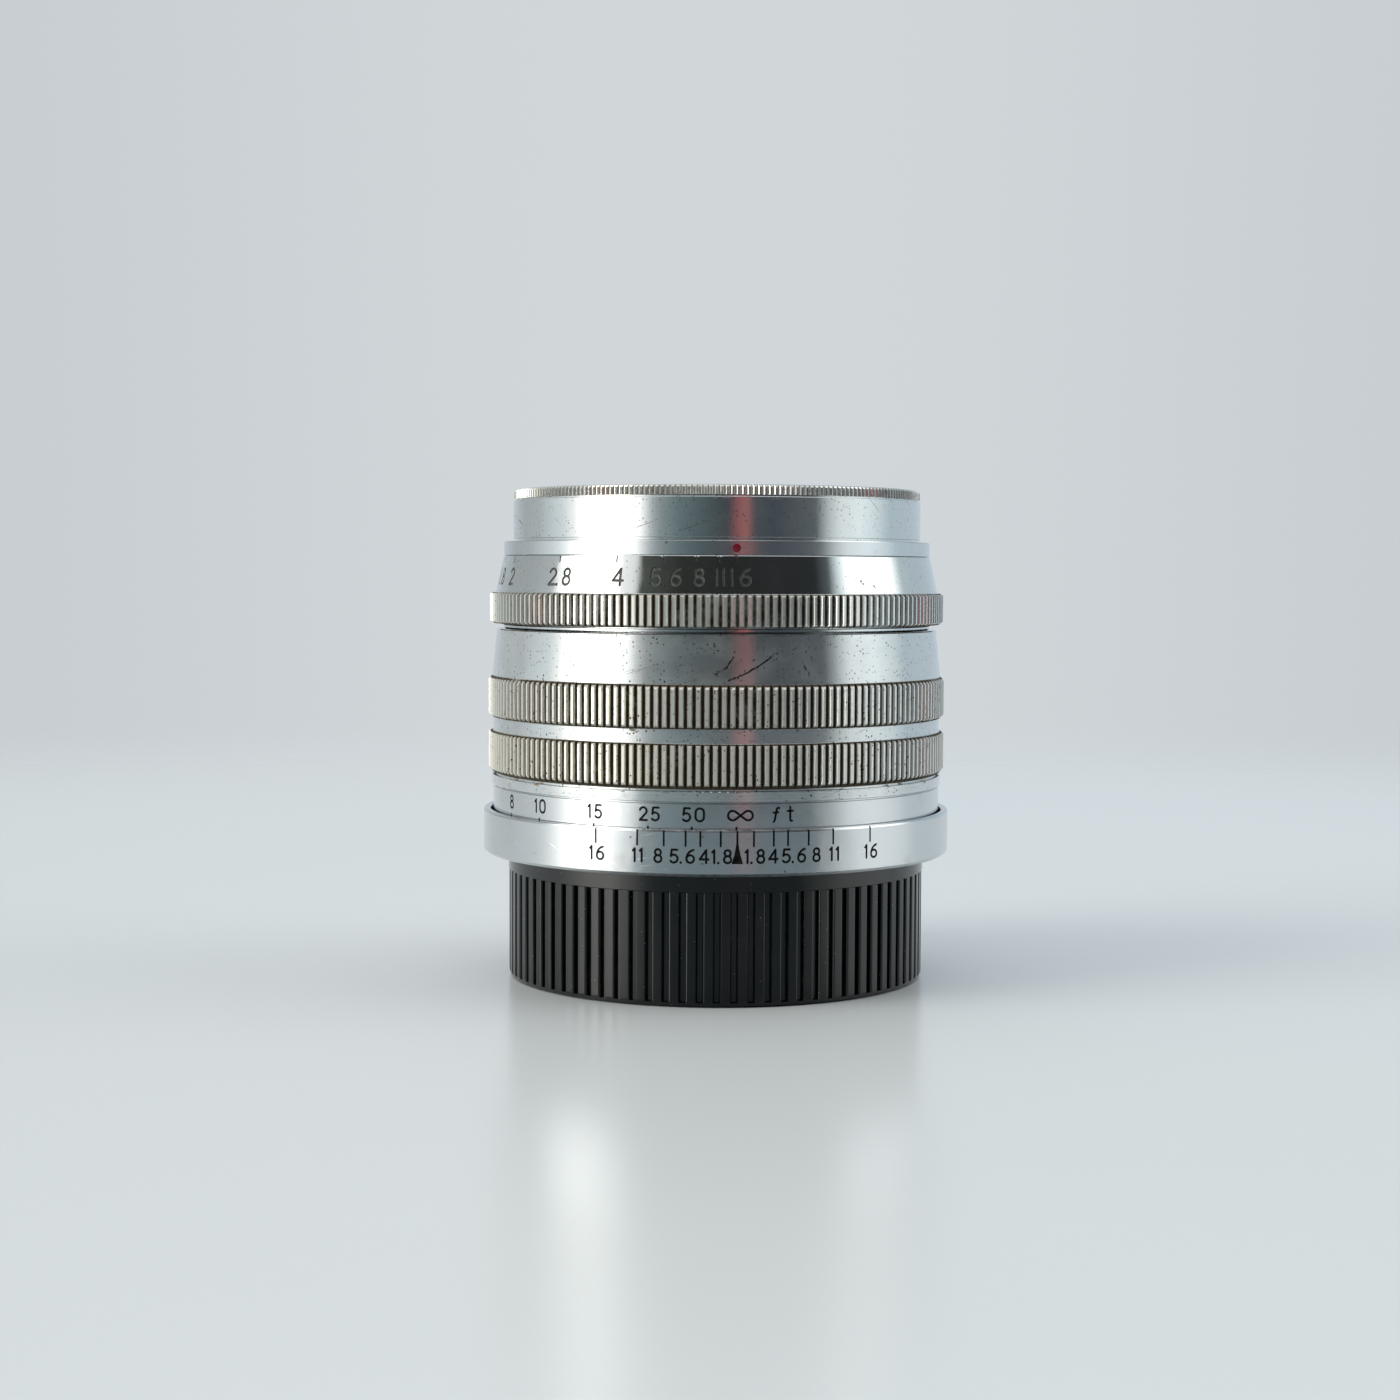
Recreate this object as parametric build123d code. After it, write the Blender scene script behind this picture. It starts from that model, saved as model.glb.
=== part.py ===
from build123d import *
import math
import os

# A 50 mm f/1.8 lens for a 39 mm screw mount, standing on its rear cap.
# Millimetres. +Z runs along the optical axis towards the front of the lens, z = 0 is the bottom
# of the cap, and the index mark faces -Y. An azimuth is counted in degrees from the index
# towards +X. The lens is drawn focused at infinity and stopped down to f/16.

# ---- driving dimensions -------------------------------------------------------------------
FLANGE_Z = 12.88          # plane that meets the camera
BASE_R = 24.0             # base ring, the widest part
BASE_TOP = 17.32
BASE_FLOOR = 13.45        # top of the base ring's floor
BASE_WALL_IN = 23.3

CAP_R = 21.47             # plain band at the top of the cap
CAP_RIB_R = 21.40
CAP_BAND_Z = 11.03
CAP_RIBS = 81

SCALE_R = 23.02           # distance scale band
SCALE_IN = 22.35
SCALE_BOTTOM = 13.6
SCALE_TOP = 19.72

GRIP_R = 23.5             # focusing grip
GRIP_ROOT = 23.08
GRIP_RIBS = 180
GRIP_BOTTOM = 19.85
CONE_TOP = 35.72

APERTURE_R = 23.35
APERTURE_ROOT = 22.95
APERTURE_RIBS = 182
APERTURE_BOTTOM = 36.28
APERTURE_KNURL_TOP = 39.5
APERTURE_CONE_R = 22.76   # cone with the f-numbers, at its foot and at its top
APERTURE_CONE_TOP_R = 22.0
APERTURE_TOP = 43.12

INDEX_R = 21.92
INDEX_BOTTOM = 43.17
INDEX_TOP = 44.61

FRONT_R = 20.96           # front barrel, also the slip-on diameter
FRONT_BOTTOM = 44.64
RIM_KNURL_R = 20.87
RIM_TOP = 49.89
RIM_RIBS = 250
FILTER_THREAD_R = 19.75   # minor radius of the 40 mm filter thread
FILTER_THREAD_BOTTOM = 47.6
FILTER_PITCH = 0.5
FRONT_SEAT_R = 19.5       # bore behind the filter thread

MOUNT_THREAD_R = 19.5     # 39 mm thread, 26 turns to the inch
MOUNT_PITCH = 25.4 / 26
MOUNT_THREAD_BOTTOM = 8.4

SLEEVE_R = 19.9           # fixed helicoid sleeve, inside the focusing ring
SLEEVE_IN = 17.5
SLEEVE_TOP = 26.5
CARRIAGE_R = 17.4         # tube that carries the optics
CARRIAGE_IN = 15.9
CARRIAGE_BOTTOM = 6.5
CARRIAGE_TOP = 30.95
BARREL_BEARING_R = 19.6   # the aperture ring turns on this
BARREL_IN = 18.0
NUT_CREST_R = 20.05
NUT_R = 21.5

FLANGE_SCREW_R = 21.3     # how far the screws of each joint stand from the axis
LOCK_SCREW_R = 20.98
BARREL_SCREW_R = 18.7
KEY_SIDES = (90, 270)
KEY_SCREW_HEIGHTS = (21.2, 23.8)
STOP_AZIMUTH = 100.0      # place of the stop lug at infinity
STOP_PIN_R = 21.93
STOP_CLEAR = 2.4          # lug's half width and pin's radius, in degrees, plus a hair
DRIVE_AZIMUTH = 150.0     # screw that joins the aperture ring to the iris, at f/16
DRIVE_Z = 37.7

FOCUS_LEAD = 6.0          # rise of the lens for one turn of the focusing ring
FOCUS_TURN = 157.4        # degrees from infinity to 3.5 feet
FOCUS_TRAVEL = FOCUS_LEAD * FOCUS_TURN / 360
APERTURE_SWEEP = 80.25    # degrees from f/16 to f/1.8

BLADES = 10
BLADE_PIVOT_R = 16.2
BLADE_IN = 10.4           # edges of a blade when the iris is wide open
BLADE_OUT = 15.4
BLADE_THICK = 0.05
BLADE_PITCH = 0.1
BLADE_CLOSE = 32.6        # degrees that a blade swings in from wide open to f/16
BLADE_BOTTOM = 32.0
BLADE_START = 18.0        # azimuth of the first blade's pivot

FOCAL_LENGTH = 51.6
MM_PER_FOOT = 304.8
ENGRAVING_DEPTH = 0.1
PEN = 0.15                # stroke of a character, as a fraction of its height
CHARACTER_GAP = 0.2


# ---- small helpers ------------------------------------------------------------------------
def turned(*points):
    """A solid turned from (radius, z) corners."""
    outline = make_face(Plane.XZ * Polyline(*points, close=True))
    return revolve(outline, Axis.Z)


def tube(inner, outer, bottom, top):
    return turned((inner, bottom), (outer, bottom), (outer, top), (inner, top))


def around(azimuth, shape):
    """Turn a shape made at azimuth 0, which lies on -Y, to its own azimuth."""
    return Rot(0, 0, azimuth) * shape


def ring_of(count, shape, first=0):
    return [around(first + 360 / count * k, shape) for k in range(count)]


def upright_pin(radius, bottom, top, at_r):
    return Pos(0, -at_r, bottom) * extrude(Circle(radius), amount=top - bottom)


def radial_pin(radius, inner, outer, z):
    """A round pin along a radius, at azimuth 0."""
    start = Plane(origin=(0, -inner, z), x_dir=(1, 0, 0), z_dir=(0, -1, 0))
    return extrude(start * Circle(radius), amount=outer - inner)


def radial_block(width, inner, outer, bottom, top):
    block = Box(width, outer - inner, top - bottom, align=(Align.CENTER, Align.MAX, Align.MIN))
    return Pos(0, -inner, bottom) * block


def rib_gaps(count, section, bottom, top):
    """The gaps between ribs. section lists (radius, half width) from the root outwards."""
    right = [(half, -radius) for radius, half in section]
    left = [(-half, -radius) for radius, half in reversed(section)]
    outline = make_face(Polyline(*right, *left, close=True))
    return ring_of(count, Pos(0, 0, bottom) * extrude(outline, amount=top - bottom))


def v_gap(crest_r, root_r, mouth, floor=0.04, over=0.15):
    """Section of a V-shaped gap, carried on a little past the crest."""
    slope = (mouth - floor) / 2 / (crest_r - root_r)
    return [(root_r, floor / 2), (crest_r + over, mouth / 2 + slope * over)]


def thread_grooves(crest_r, root_r, pitch, bottom, top):
    """Ring-shaped grooves that stand for a thread, between two heights."""
    count = int((top - bottom) / pitch)
    over = math.copysign(0.1, crest_r - root_r)
    groove = turned((crest_r + over, -0.4 * pitch), (crest_r, -0.36 * pitch), (root_r, -0.06 * pitch),
                    (root_r, 0.06 * pitch), (crest_r, 0.36 * pitch), (crest_r + over, 0.4 * pitch))
    return [Pos(0, 0, bottom + pitch * (k + 0.5)) * groove for k in range(count)]


# ---- engraved characters ------------------------------------------------------------------
def stroke(path):
    return Face(Wire([path.edge()]).offset_2d(PEN / 2))


def loop(x, y, width, height):
    """A closed oval stroke, given by the size of its centre line."""
    outer = RectangleRounded(width + PEN, height + PEN, (min(width, height) + PEN) / 2 - 0.001)
    inner = RectangleRounded(width - PEN, height - PEN, (min(width, height) - PEN) / 2 - 0.001)
    return Pos(x, y) * (outer - inner)


def glyph_strokes(name):
    """Width and strokes of a character one unit tall, standing on y = 0."""
    low, high = PEN / 2, 1 - PEN / 2
    shapes = {
        "0": (0.7, lambda: [loop(0.35, 0.5, 0.55, high - low)]),
        "1": (0.29, lambda: [stroke(Line((0.21, low), (0.21, high))),
                             stroke(Line((0.21, high), (0.08, 0.78)))]),
        "|": (0.15, lambda: [stroke(Line((0.08, low), (0.08, high)))]),
        "2": (0.64, lambda: [stroke(CenterArc((0.32, 0.68), 0.24, 165, -205)),
                             stroke(Line((0.50, 0.525), (0.08, low))),
                             stroke(Line((0.08, low), (0.57, low)))]),
        "3": (0.62, lambda: [stroke(CenterArc((0.30, 0.715), 0.205, 150, -240)),
                             stroke(CenterArc((0.30, 0.30), 0.225, 90, -240))]),
        "4": (0.72, lambda: [stroke(Line((0.50, low), (0.50, high))),
                             stroke(Line((0.50, high), (0.08, 0.31))),
                             stroke(Line((0.08, 0.31), (0.65, 0.31)))]),
        "5": (0.64, lambda: [stroke(Line((0.54, high), (0.17, high))),
                             stroke(Line((0.17, high), (0.12, 0.50))),
                             stroke(CenterArc((0.30, 0.335), 0.26, 138, -280))]),
        "6": (0.64, lambda: [loop(0.32, 0.325, 0.49, 0.5),
                             stroke(CenterArc((0.675, 0.34), 0.6, 104, 76))]),
        "8": (0.62, lambda: [loop(0.31, 0.30, 0.47, 0.45), loop(0.31, 0.725, 0.39, 0.40)]),
        ".": (0.04, lambda: [Pos(0.02, 0.08) * Circle(0.085)]),
        "~": (1.74, lambda: [stroke(CenterArc((1.38, 0.46), 0.31, 127, -254)),
                             stroke(CenterArc((0.36, 0.46), 0.31, 53, 254)),
                             stroke(Line((0.55, 0.21), (1.19, 0.71))),
                             stroke(Line((0.55, 0.71), (1.19, 0.21)))]),
        "f": (0.42, lambda: [stroke(Line((0.06, 0.02), (0.13, 0.12))),
                             stroke(Line((0.13, 0.12), (0.26, 0.84))),
                             stroke(CenterArc((0.38, 0.82), 0.12, 170, -110)),
                             stroke(Line((0.06, 0.62), (0.36, 0.66)))]),
        "t": (0.40, lambda: [stroke(Line((0.20, 0.98), (0.20, 0.16))),
                             stroke(CenterArc((0.30, 0.16), 0.10, 180, 110)),
                             stroke(Line((0.02, 0.72), (0.38, 0.72)))]),
    }
    width, draw = shapes[name]
    return width, Sketch() + draw()


def surface_plane(azimuth, radius, z, lean=0):
    """Tangent plane of a ring: x runs along the rim and y runs up."""
    turn, tilt = math.radians(azimuth), math.radians(lean)
    normal = (math.sin(turn) * math.cos(tilt), -math.cos(turn) * math.cos(tilt), math.sin(tilt))
    origin = (radius * math.sin(turn), -radius * math.cos(turn), z)
    return Plane(origin=origin, x_dir=(math.cos(turn), math.sin(turn), 0), z_dir=normal)


def engraving(sketch, azimuth, radius, z, lean=0):
    """A cutter that sinks a flat sketch into a ring's surface."""
    plane = surface_plane(azimuth, radius, z, lean).offset(-ENGRAVING_DEPTH)
    return extrude(plane * sketch, amount=3 * ENGRAVING_DEPTH)


def label(text, height, azimuth, radius, z, lean=0):
    """Cutters for a row of characters centred on an azimuth, with their feet at height z."""
    glyphs = [glyph_strokes(name) for name in text]
    total = sum(width for width, _ in glyphs) + CHARACTER_GAP * (len(glyphs) - 1)
    left, cutters = -total / 2, []
    for width, sketch in glyphs:
        centred = Pos(-width / 2, 0) * sketch
        turn = math.degrees((left + width / 2) * height / radius)
        cutters.append(engraving(scale(centred, by=height), azimuth + turn, radius, z, lean))
        left += width + CHARACTER_GAP
    return cutters


def tick(width, length, azimuth, radius, z, lean=0):
    bar = Pos(0, length / 2) * Rectangle(width, length)
    return engraving(bar, azimuth, radius, z, lean)


# ---- rear cap -----------------------------------------------------------------------------
def rear_cap():
    body = turned((0, 0), (CAP_RIB_R - 0.5, 0), (CAP_RIB_R - 0.12, 0.16), (CAP_RIB_R, 0.6),
                  (CAP_RIB_R, CAP_BAND_Z), (CAP_R, CAP_BAND_Z + 0.07), (CAP_R, 12.7),
                  (CAP_R - 0.16, 12.86), (19.75, 12.86), (19.75, 8.4), (19.9, 8.2), (19.9, 3.0),
                  (18.7, 1.8), (0, 1.8))
    body -= thread_grooves(19.75, 20.2, MOUNT_PITCH, 8.6, 12.6)
    section = [(CAP_RIB_R - 0.5, 0.22), (CAP_RIB_R - 0.16, 0.29), (CAP_RIB_R - 0.04, 0.37),
               (CAP_RIB_R, 0.48), (CAP_RIB_R + 0.2, 0.48)]
    return body - rib_gaps(CAP_RIBS, section, 0.45, CAP_BAND_Z)


# ---- fixed mount --------------------------------------------------------------------------
def depth_of_field_marks():
    """Paired ticks and f-numbers on both sides of the index triangle."""
    degrees_per_stop = 2.08
    numbers = {"1.8": 3.75, "4": 7.85, "5.6": 12.77, "8": 18.3, "11": 23.0, "16": 33.3}
    cutters = []
    for text, place in numbers.items():
        for side in (-1, 1):
            cutters.append(tick(0.19, 1.7, side * degrees_per_stop * float(text), BASE_R, 15.76))
            cutters += label(text, 1.43, side * place, BASE_R, 14.14)
    arrow = make_face(Polyline((-0.55, 0), (0.55, 0), (0.28, 0.9), (0.1, 1.9), (0.09, 3.3),
                               (-0.09, 3.3), (-0.1, 1.9), (-0.28, 0.9), close=True))
    cutters.append(engraving(arrow, 0, BASE_R, 14.15))
    return cutters


def base_ring():
    body = turned((20.4, FLANGE_Z), (BASE_R - 0.35, FLANGE_Z), (BASE_R, FLANGE_Z + 0.3),
                  (BASE_R, BASE_TOP - 0.22), (BASE_R - 0.07, BASE_TOP - 0.06), (BASE_R - 0.22, BASE_TOP),
                  (BASE_WALL_IN + 0.1, BASE_TOP), (BASE_WALL_IN, BASE_TOP - 0.1),
                  (BASE_WALL_IN, BASE_FLOOR), (20.4, BASE_FLOOR))
    screw_hole = upright_pin(0.55, FLANGE_Z - 0.1, BASE_FLOOR + 0.1, FLANGE_SCREW_R)
    head_hole = upright_pin(0.95, FLANGE_Z - 0.1, FLANGE_Z + 0.3, FLANGE_SCREW_R)
    body -= ring_of(4, screw_hole, 45) + ring_of(4, head_hole, 45)
    return body - depth_of_field_marks()


def mount_flange():
    """Male thread, flange plate and fixed helicoid sleeve in one turned piece."""
    body = turned((SLEEVE_IN, MOUNT_THREAD_BOTTOM), (MOUNT_THREAD_R - 0.4, MOUNT_THREAD_BOTTOM),
                  (MOUNT_THREAD_R, MOUNT_THREAD_BOTTOM + 0.4), (MOUNT_THREAD_R, FLANGE_Z - 0.9),
                  (MOUNT_THREAD_R - 0.55, FLANGE_Z - 0.9), (MOUNT_THREAD_R - 0.55, FLANGE_Z),
                  (20.35, FLANGE_Z), (20.35, BASE_FLOOR + 0.02), (22.1, BASE_FLOOR + 0.02),
                  (22.1, 14.5), (SLEEVE_R, 14.5), (SLEEVE_R, SLEEVE_TOP - 0.2),
                  (SLEEVE_R - 0.2, SLEEVE_TOP), (SLEEVE_IN, SLEEVE_TOP))
    body -= thread_grooves(MOUNT_THREAD_R, MOUNT_THREAD_R - 0.55, MOUNT_PITCH,
                           MOUNT_THREAD_BOTTOM + 0.4, FLANGE_Z - 0.9)
    body -= thread_grooves(SLEEVE_R, SLEEVE_R - 0.5, 1.5, 15.4, SLEEVE_TOP - 0.3)
    body -= ring_of(4, upright_pin(0.55, BASE_FLOOR, 14.6, FLANGE_SCREW_R), 45)
    body -= ring_of(2, radial_block(3.04, 17.0, 18.95, 19.95, 25.05), 90)
    return body - key_screws(0.62)


def flange_screws():
    screw = upright_pin(0.5, FLANGE_Z + 0.1, 14.45, FLANGE_SCREW_R)
    screw += upright_pin(0.88, FLANGE_Z + 0.04, FLANGE_Z + 0.28, FLANGE_SCREW_R)
    screw -= Pos(0, -FLANGE_SCREW_R, FLANGE_Z + 0.08) * Box(2.4, 0.22, 0.16)
    return Compound(ring_of(4, screw, 45))


def key_screws(radius):
    return [around(side, radial_pin(radius, 16.9, 19.3, z)) for side in KEY_SIDES
            for z in KEY_SCREW_HEIGHTS]


def guide_keys():
    key = radial_block(3.0, 16.4, 18.9, 20, 25)
    key -= [radial_pin(0.62, 16.0, 19.5, z) for z in KEY_SCREW_HEIGHTS]
    return Compound(ring_of(2, key, 90))


def guide_key_screws():
    return Compound(key_screws(0.57))


def focus_stop_pins():
    """The stop lug sits between these pins: at one at infinity, at the other at 3.5 feet."""
    pin = upright_pin(0.3, 14.5, 19.1, STOP_PIN_R)
    return Compound([around(STOP_AZIMUTH - STOP_CLEAR, pin),
                     around(STOP_AZIMUTH + FOCUS_TURN + STOP_CLEAR, pin)])


# ---- focusing ring ------------------------------------------------------------------------
def focus_ring():
    """Lower band, two knurled grips with a groove between them, and the chrome cone."""
    band_r, groove_r = 23.18, 23.04
    body = turned((NUT_R + 0.06, GRIP_BOTTOM), (band_r - 0.05, GRIP_BOTTOM),
                  (band_r, GRIP_BOTTOM + 0.05), (band_r, 20.83), (band_r - 0.05, 20.88),
                  (22.8, 20.9), (22.8, 21.1), (GRIP_ROOT, 21.13), (GRIP_R, 21.62), (GRIP_R, 25.09),
                  (GRIP_ROOT, 25.38), (groove_r, 25.4), (groove_r, 26.68), (GRIP_ROOT, 26.7),
                  (GRIP_R, 27.09), (GRIP_R, 30.52), (GRIP_ROOT + 0.06, 30.94),
                  (22.66, CONE_TOP - 0.1), (22.56, CONE_TOP), (21.9, CONE_TOP), (21.9, 32.04),
                  (20.2, 32.04), (20.2, 31.0), (NUT_R + 0.06, 31.0))
    section = v_gap(GRIP_R, GRIP_ROOT, 0.57)
    body -= rib_gaps(GRIP_RIBS, section, 21.12, 25.39)
    body -= rib_gaps(GRIP_RIBS, section, 26.69, 30.95)
    return body - ring_of(3, upright_pin(0.55, 30.9, 32.1, LOCK_SCREW_R), 60)


def feet_to_turn(feet):
    """How far the ring turns from infinity to focus at a distance."""
    distance = feet * MM_PER_FOOT
    extension = FOCAL_LENGTH ** 2 / (distance - FOCAL_LENGTH)
    return extension / FOCUS_LEAD * 360


def distance_scale_ring():
    body = turned((SCALE_IN, SCALE_BOTTOM), (SCALE_R - 0.1, SCALE_BOTTOM), (SCALE_R, SCALE_BOTTOM + 0.1),
                  (SCALE_R, SCALE_TOP - 0.06), (SCALE_R - 0.06, SCALE_TOP), (SCALE_R - 0.3, SCALE_TOP),
                  (SCALE_R - 0.3, GRIP_BOTTOM - 0.01), (SCALE_IN, GRIP_BOTTOM - 0.01))
    feet = {"50": 50, "25": 25, "15": 15, "10": 10, "8": 8, "6": 6, "5": 5, "4": 4, "3.5": 3.5}
    places = {text: -feet_to_turn(value) for text, value in feet.items()}
    cutters = [tick(0.19, 1.0, place, SCALE_R, 16.55) for place in [0, *places.values()]]
    for text, place in places.items():
        cutters += label(text, 1.43, place, SCALE_R, 17.97)
    cutters += label("~", 1.43, 0, SCALE_R, 17.97)
    cutters += label("f", 1.43, 9.2, SCALE_R, 17.97)
    cutters += label("t", 1.43, 12.75, SCALE_R, 17.97)
    return body - cutters


def focus_nut():
    """Brass nut on the fixed sleeve, with a lip under the carriage's flange and the stop lug."""
    body = turned((NUT_CREST_R, 14.8), (NUT_R, 14.8), (NUT_R, 30.97), (NUT_CREST_R, 30.97),
                  (NUT_CREST_R, 28.9), (18.2, 28.9), (18.2, 27.6), (NUT_CREST_R, 27.6))
    body -= thread_grooves(NUT_CREST_R, NUT_CREST_R + 0.5, 1.5, 15.2, 27.2)
    body += around(STOP_AZIMUTH, radial_block(1.0, NUT_R - 0.2, 22.15, 15.0, 17.0))
    return body - ring_of(3, upright_pin(0.34, 28.4, 31.0, LOCK_SCREW_R), 60)


def focus_lock_ring():
    body = turned((19.15, 31.08), (20.1, 31.08), (20.1, 32.06), (21.85, 32.06), (21.85, 33.0),
                  (19.15, 33.0))
    hole = upright_pin(0.36, 32.0, 33.1, LOCK_SCREW_R) + upright_pin(0.66, 32.5, 33.1, LOCK_SCREW_R)
    return body - ring_of(3, hole, 60)


def lock_ring_screws():
    screw = upright_pin(0.3, 28.6, 32.6, LOCK_SCREW_R) + upright_pin(0.6, 32.52, 32.95, LOCK_SCREW_R)
    screw -= Pos(0, -LOCK_SCREW_R, 32.9) * Box(1.6, 0.18, 0.24)
    return Compound(ring_of(3, screw, 60))


# ---- aperture ring ------------------------------------------------------------------------
def aperture_lean():
    slant = APERTURE_CONE_R - APERTURE_CONE_TOP_R
    return math.degrees(math.atan2(slant, APERTURE_TOP - APERTURE_KNURL_TOP))


def aperture_cone_radius(z):
    rise = (z - APERTURE_KNURL_TOP) / (APERTURE_TOP - APERTURE_KNURL_TOP)
    return APERTURE_CONE_R + (APERTURE_CONE_TOP_R - APERTURE_CONE_R) * rise


def aperture_ring():
    body = turned((BARREL_BEARING_R + 0.1, APERTURE_BOTTOM), (APERTURE_ROOT, APERTURE_BOTTOM),
                  (APERTURE_R, 36.56), (APERTURE_R, 39.23), (APERTURE_ROOT, APERTURE_KNURL_TOP),
                  (APERTURE_CONE_R, APERTURE_KNURL_TOP + 0.02),
                  (APERTURE_CONE_TOP_R, APERTURE_TOP - 0.05),
                  (APERTURE_CONE_TOP_R - 0.05, APERTURE_TOP), (BARREL_BEARING_R + 0.1, APERTURE_TOP))
    section = v_gap(APERTURE_R, APERTURE_ROOT, 0.57)
    body -= rib_gaps(APERTURE_RIBS, section, APERTURE_BOTTOM - 0.01, APERTURE_KNURL_TOP + 0.01)
    body -= around(DRIVE_AZIMUTH, radial_pin(0.75, BARREL_BEARING_R, APERTURE_R + 0.1, DRIVE_Z))
    lean = aperture_lean()
    places = {"16": 0, "11": -4.3, "8": -9.9, "5.6": -18.1, "4": -30.4, "2.8": -48.2, "2": -70.9,
              "1.8": -80.25}
    cutters = []
    for text, place in places.items():
        plain = text.replace("1", "|")
        shift = 0.5 if text == "16" else 0.0
        cutters.append(tick(0.16, 0.62, place, aperture_cone_radius(42.46), 42.46, lean))
        cutters += label(plain, 1.84, place + shift, aperture_cone_radius(40.16), 40.16, lean)
    return body - cutters


def aperture_drive_screw():
    screw = radial_pin(0.7, 20.0, 22.7, DRIVE_Z) + radial_pin(0.45, 15.4, 20.4, DRIVE_Z)
    slot = Pos(0, -22.7, DRIVE_Z) * Box(1.8, 0.5, 0.22)
    return around(DRIVE_AZIMUTH, screw - slot)


def iris_cam_ring():
    """Ring over the blades, with an annular channel for their studs and an upright tab."""
    ring = turned((13.65, 33.22), (15.9, 33.22), (15.9, 34.0), (17.0, 34.0), (17.0, 34.3),
                  (13.65, 34.3))
    tab = tube(15.25, 16.1, 34.2, 38.6) & Pos(0, -16, 34) * Box(3.4, 8, 12)
    return ring + around(DRIVE_AZIMUTH, tab - radial_pin(0.5, 14.0, 18.0, DRIVE_Z))


# ---- iris ---------------------------------------------------------------------------------
def iris_housing():
    body = turned((10.75, 31.4), (17.9, 31.4), (17.9, 34.9), (17.15, 34.9), (17.15, 31.85),
                  (10.75, 31.85))
    body -= turned((17.1, 34.35), (17.5, 34.35), (17.5, 34.76), (17.1, 34.76))
    return body - ring_of(BLADES, upright_pin(0.33, 31.3, 31.9, BLADE_PIVOT_R), BLADE_START)


def iris_snap_ring():
    ring = tube(16.25, 17.42, 34.37, 34.72)
    return ring - around(20, radial_block(1.6, 15, 19, 34, 35))


def iris_blade(number):
    """A thin curved blade with a stud below that it swings on and a stud above that drives it."""
    bottom = BLADE_BOTTOM + BLADE_PITCH * number
    sweep = math.radians(86)
    middle, half_width = (BLADE_IN + BLADE_OUT) / 2, (BLADE_OUT - BLADE_IN) / 2

    def polar(radius, angle):
        return (radius * math.sin(angle), -radius * math.cos(angle))

    far = polar(middle, sweep)
    tip = (far[0] + half_width * math.cos(sweep), far[1] + half_width * math.sin(sweep))
    inner = ThreePointArc(polar(BLADE_IN, -0.06), polar(BLADE_IN, sweep / 2), polar(BLADE_IN, sweep))
    outer = ThreePointArc(polar(BLADE_OUT, sweep), polar(BLADE_OUT, sweep / 2), polar(BLADE_OUT, -0.06))
    end = ThreePointArc(polar(BLADE_IN, sweep), tip, polar(BLADE_OUT, sweep))
    root = Line(polar(BLADE_OUT, -0.06), polar(BLADE_IN, -0.06))
    band = make_face([inner, end, outer, root])
    ear = Pos(0, -(BLADE_PIVOT_R - 0.4)) * Rectangle(1.3, 1.4)
    eye = Pos(0, -BLADE_PIVOT_R) * Circle(0.65)
    sheet = Pos(0, 0, bottom) * extrude(Sketch() + [band, ear, eye], amount=BLADE_THICK)
    blade = sheet + upright_pin(0.28, 31.45, bottom + BLADE_THICK, BLADE_PIVOT_R)
    blade += upright_pin(0.22, bottom, 33.7, BLADE_PIVOT_R + 0.28)
    pivot = Pos(0, -BLADE_PIVOT_R, 0)
    closed = pivot * Rot(0, 0, BLADE_CLOSE) * pivot.inverse() * blade
    return around(360 / BLADES * number + BLADE_START, closed)


# ---- carriage and barrels -----------------------------------------------------------------
def carriage_tube():
    body = turned((CARRIAGE_IN, CARRIAGE_BOTTOM), (CARRIAGE_R - 0.3, CARRIAGE_BOTTOM),
                  (CARRIAGE_R, CARRIAGE_BOTTOM + 0.3), (CARRIAGE_R, 29.0), (19.8, 29.0),
                  (19.8, CARRIAGE_TOP), (CARRIAGE_IN, CARRIAGE_TOP))
    slot_bottom = 20 - FOCUS_TRAVEL - 0.4
    body -= ring_of(2, radial_block(3.1, 15, 18, slot_bottom, 25.3), 90)
    hole = upright_pin(0.42, 28.9, 31.0, BARREL_SCREW_R) + upright_pin(0.75, 28.9, 29.7, BARREL_SCREW_R)
    return body - ring_of(3, hole)


def lens_barrel():
    """Main barrel, with a thin flange between the rings and the aperture ring's bearing."""
    body = turned((BARREL_IN, 30.97), (19.0, 30.97), (19.0, 35.2), (19.3, 35.6), (19.3, 35.88),
                  (21.95, 35.88), (22.0, 35.93), (22.0, 36.1), (21.95, 36.15), (BARREL_BEARING_R, 36.15),
                  (BARREL_BEARING_R, 43.14), (BARREL_IN, 43.14))
    body -= ring_of(3, upright_pin(0.34, 30.9, 34.0, BARREL_SCREW_R))
    return body - drive_window()


def drive_window():
    """Cutters for the slot that the drive screw sweeps along, with round ends."""
    steps = 8
    chord = 50 * math.sin(math.radians(APERTURE_SWEEP / steps / 2))
    slot = radial_block(chord, 17, 21, DRIVE_Z - 0.6, DRIVE_Z + 0.6)
    hole = radial_pin(1.0, 16, 24, DRIVE_Z)
    middles = [DRIVE_AZIMUTH + APERTURE_SWEEP * (k + 0.5) / steps for k in range(steps)]
    ends = [DRIVE_AZIMUTH, DRIVE_AZIMUTH + APERTURE_SWEEP]
    return [around(middle, slot) for middle in middles] + [around(end, hole) for end in ends]


def barrel_screws():
    screw = upright_pin(0.3, 29.1, 33.8, BARREL_SCREW_R) + upright_pin(0.68, 29.1, 29.6, BARREL_SCREW_R)
    screw -= Pos(0, -BARREL_SCREW_R, 29.1) * Box(1.6, 0.2, 0.3)
    return Compound(ring_of(3, screw))


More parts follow.
